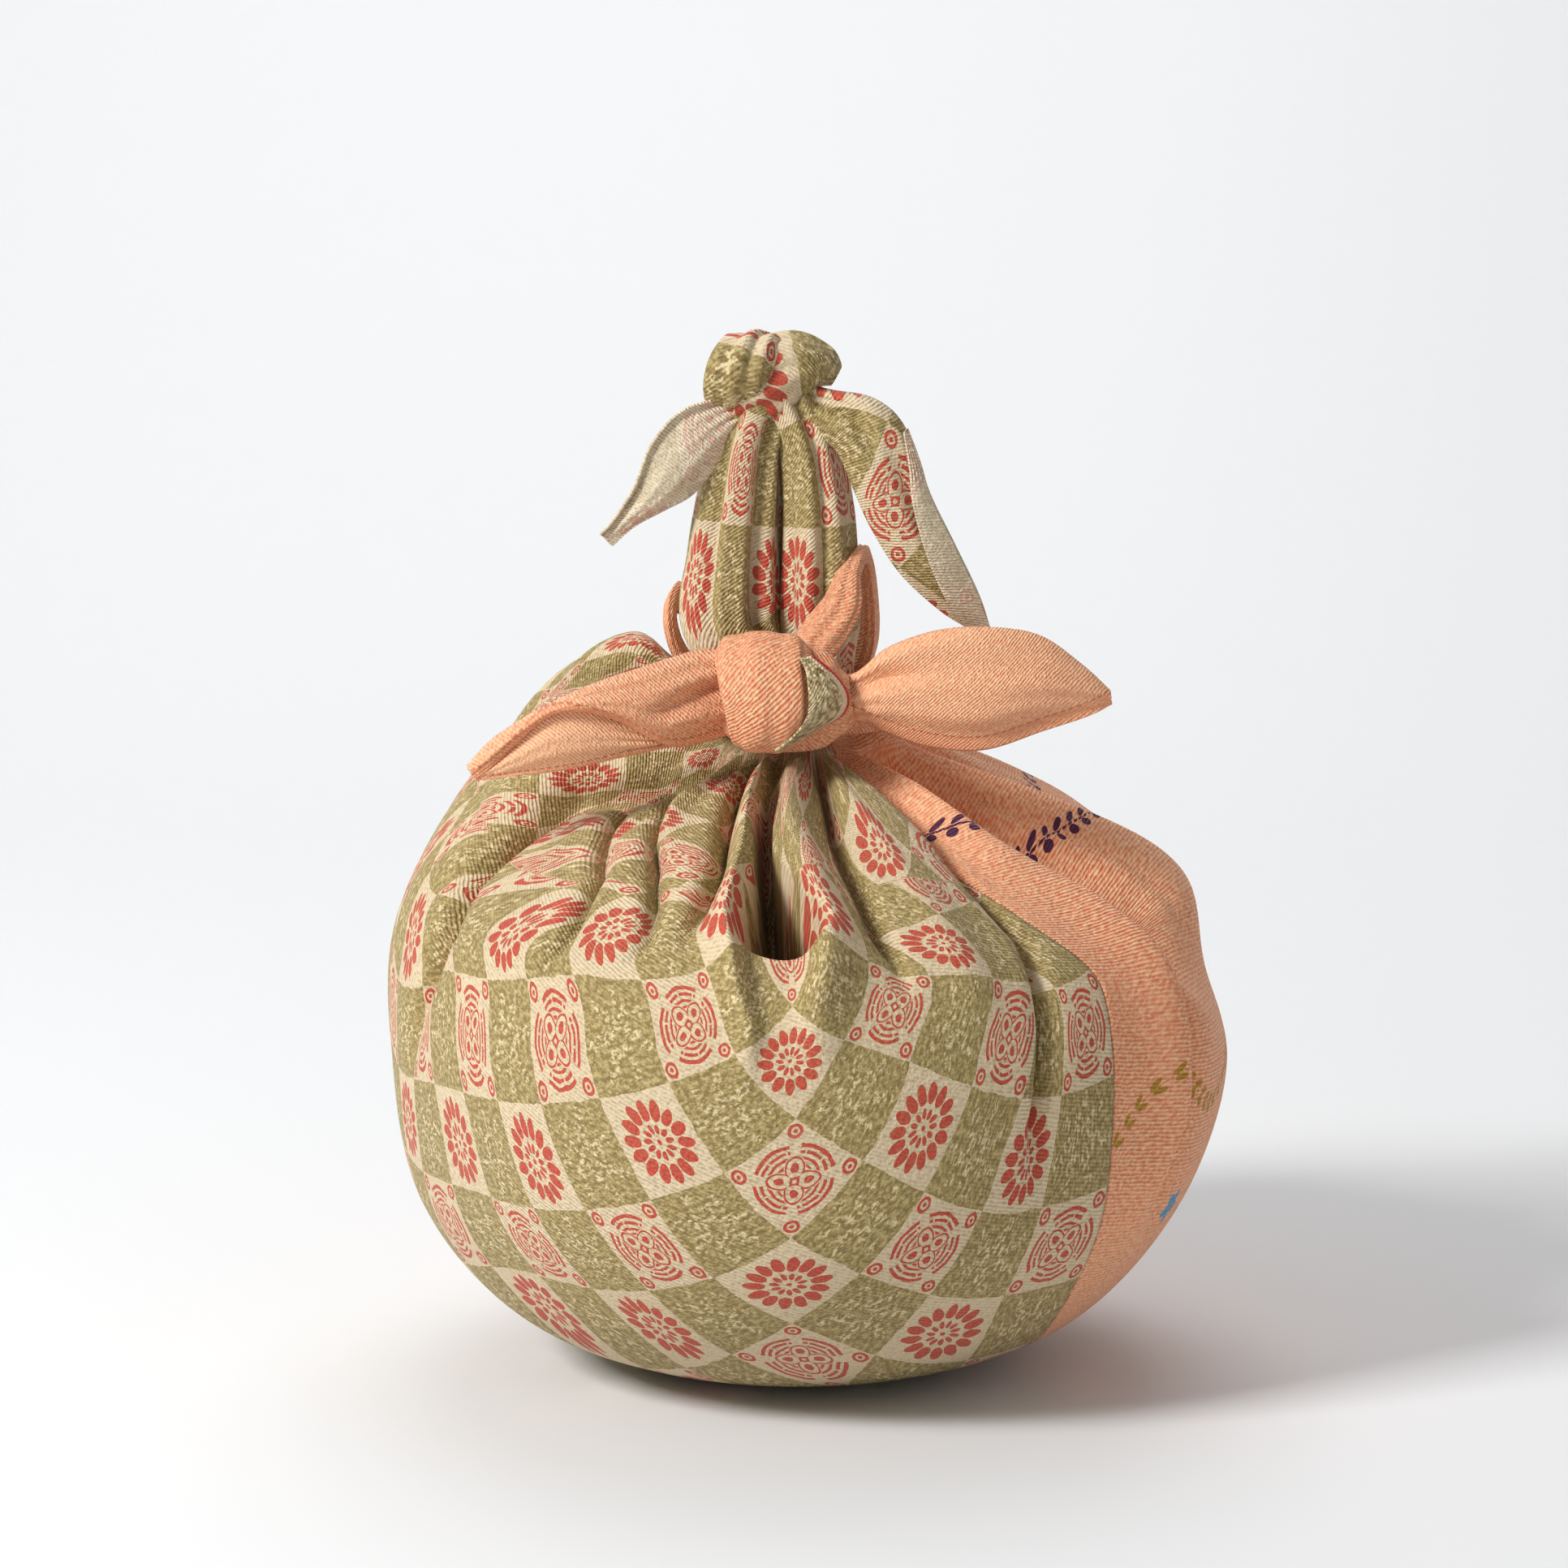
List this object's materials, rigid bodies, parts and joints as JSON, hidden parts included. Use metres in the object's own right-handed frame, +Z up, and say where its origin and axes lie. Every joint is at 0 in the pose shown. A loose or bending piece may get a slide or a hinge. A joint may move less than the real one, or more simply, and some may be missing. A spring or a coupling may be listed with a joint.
{
  "type": "furoshiki wrap bag",
  "caption": "Square cloth wrap tied as a round carrying bag, with a checked and a plain half, a bow at the neck and a knotted handle.",
  "frame": {"origin": "middle of the flat spot under the bag, on the surface that it rests on", "axes": "+Z up to the handle's knot, -Y to the front with the bow, +X to the bag's right as seen from the front"},
  "size_m": [0.2075, 0.2057, 0.2542],
  "materials": {
    "check_cloth": "crepe silk, olive and cream checks with red ornaments",
    "coral_cloth": "crepe silk, plain coral with drawn cords"
  },
  "bodies": {
    "root": {"check_panel": "check_cloth", "coral_panel": "coral_cloth"}
  },
  "joints": []
}
